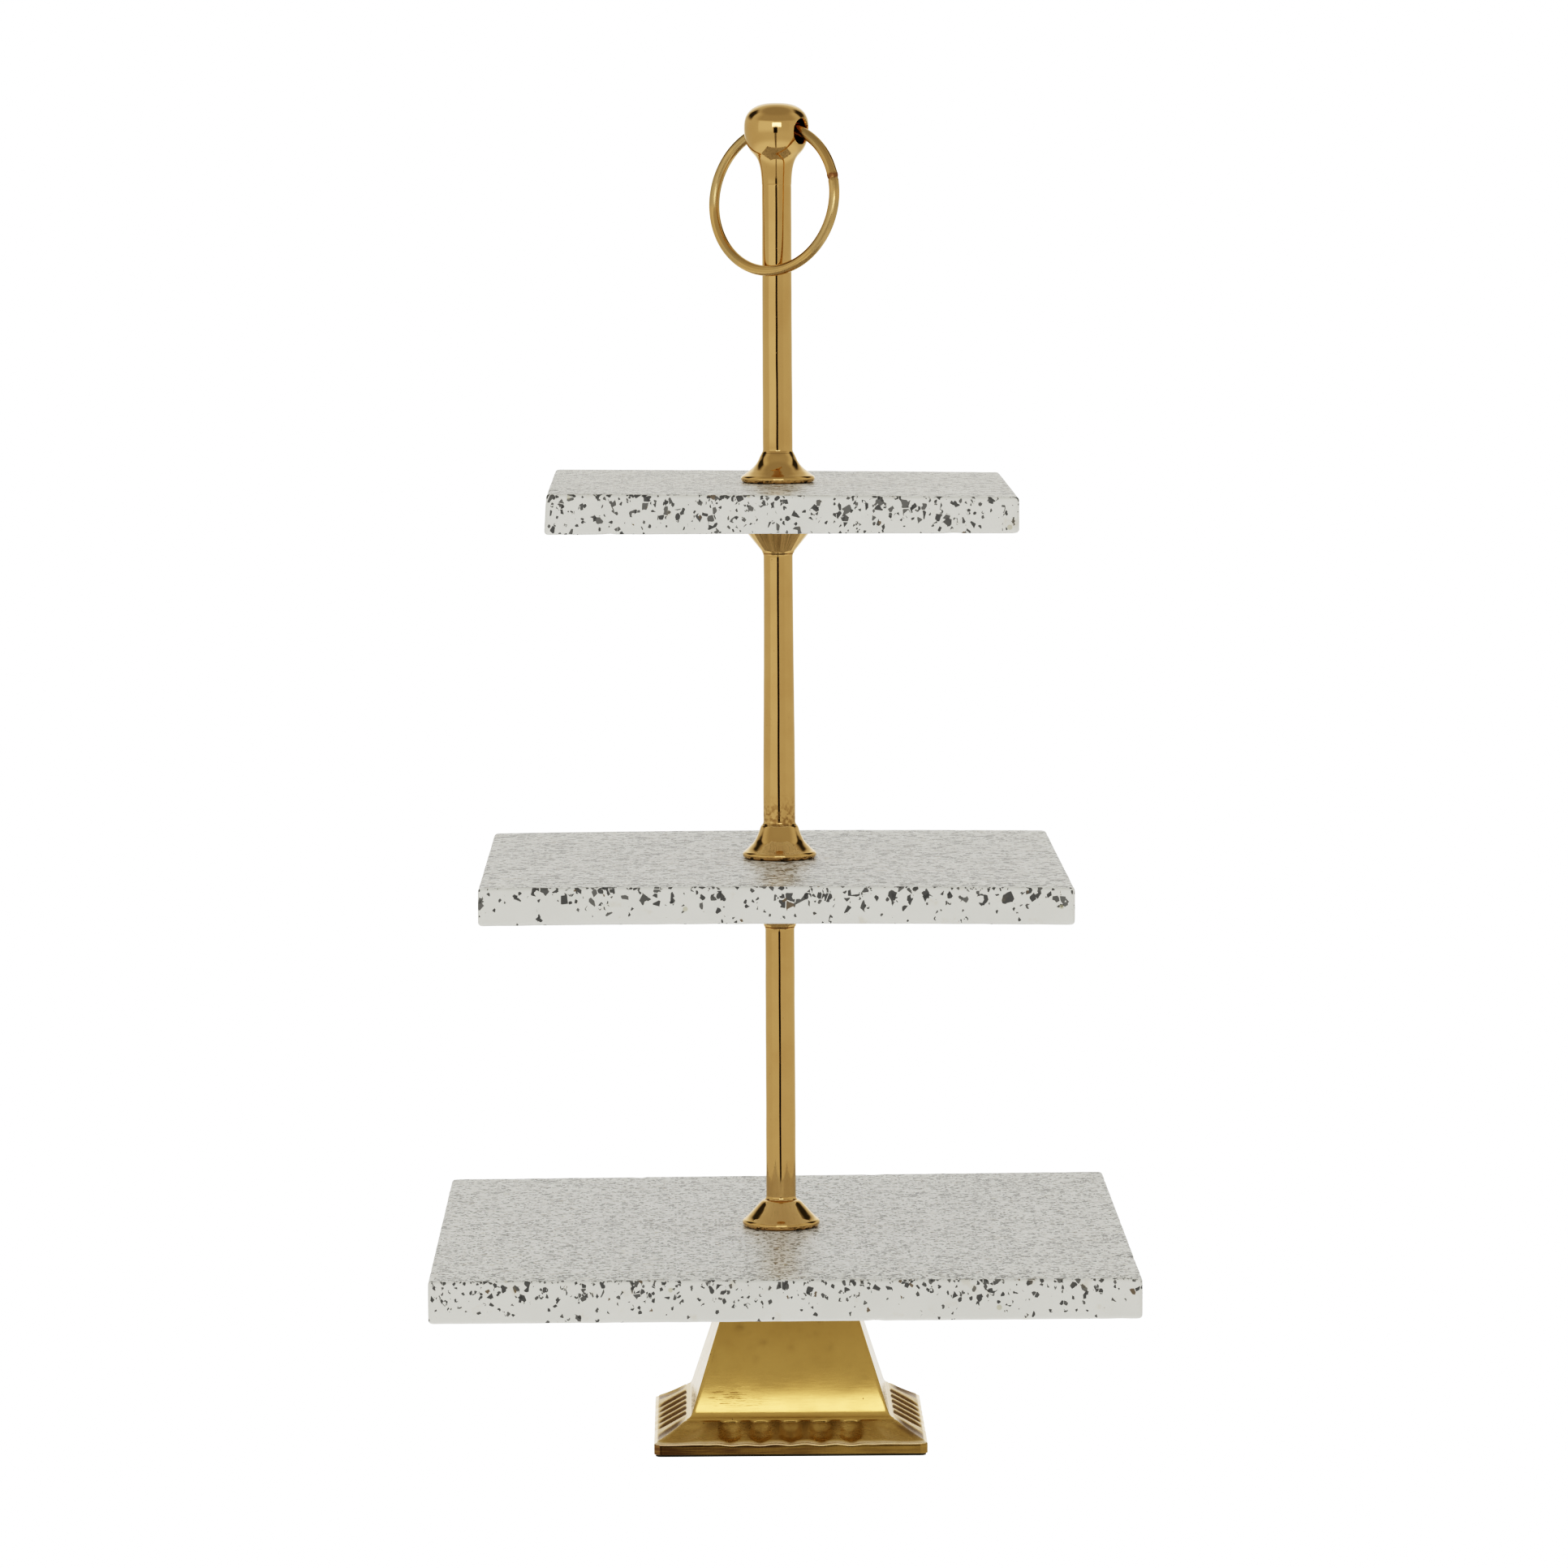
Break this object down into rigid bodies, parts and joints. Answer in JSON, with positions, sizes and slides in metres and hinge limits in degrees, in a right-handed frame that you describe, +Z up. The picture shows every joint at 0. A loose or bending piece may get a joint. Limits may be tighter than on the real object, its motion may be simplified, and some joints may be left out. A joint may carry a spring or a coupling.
{
  "type": "tiered cake stand",
  "caption": "Square tiered cake stand: terrazzo slabs of falling size clamped on a turned brass pole, with a fluted cast foot, bell collars and a lifting ring through a ball finial.",
  "frame": {"origin": "on the table, under the middle of the bottom slab", "axes": "+Z up along the pole; the slab sides run along X and Y, and -Y is the front"},
  "size_m": [0.3048, 0.3048, 0.5929],
  "materials": {
    "polished_brass": "polished, hand finished",
    "cast_brass": "satin cast",
    "terrazzo": "honed, grey chips in a pale matrix",
    "steel": "zinc plated",
    "rubber": "matt",
    "felt": "felt"
  },
  "bodies": {
    "stand": {"base_foot": "cast_brass", "base_felt": "felt", "ball_finial": "polished_brass", "handle_pole": "polished_brass", "upper_pole": "polished_brass", "lower_pole": "polished_brass", "top_collar": "polished_brass", "middle_collar": "polished_brass", "bottom_collar": "polished_brass", "top_support_cone": "polished_brass", "middle_support_cone": "polished_brass", "top_slab": "terrazzo", "middle_slab": "terrazzo", "bottom_slab": "terrazzo", "base_washer": "steel", "base_nut": "steel", "base_stud": "steel", "middle_stud": "steel", "top_stud": "steel", "lower_pole_insert_bottom": "steel", "lower_pole_insert_top": "steel", "upper_pole_insert_bottom": "steel", "upper_pole_insert_top": "steel", "handle_pole_insert_bottom": "steel", "bottom_slab_pad_lower": "rubber", "bottom_slab_pad_upper": "rubber", "middle_slab_pad_lower": "rubber", "middle_slab_pad_upper": "rubber", "top_slab_pad_lower": "rubber", "top_slab_pad_upper": "rubber"},
    "ring": {"lifting_ring": "polished_brass"}
  },
  "joints": [
    {"name": "ring_swing", "type": "hinge", "parent": "stand", "child": "ring", "pos_m": [0, 0, 0.58025], "axis": [-0.8171, 0.5764, 0], "range_deg": [0, 342.9]}
  ]
}
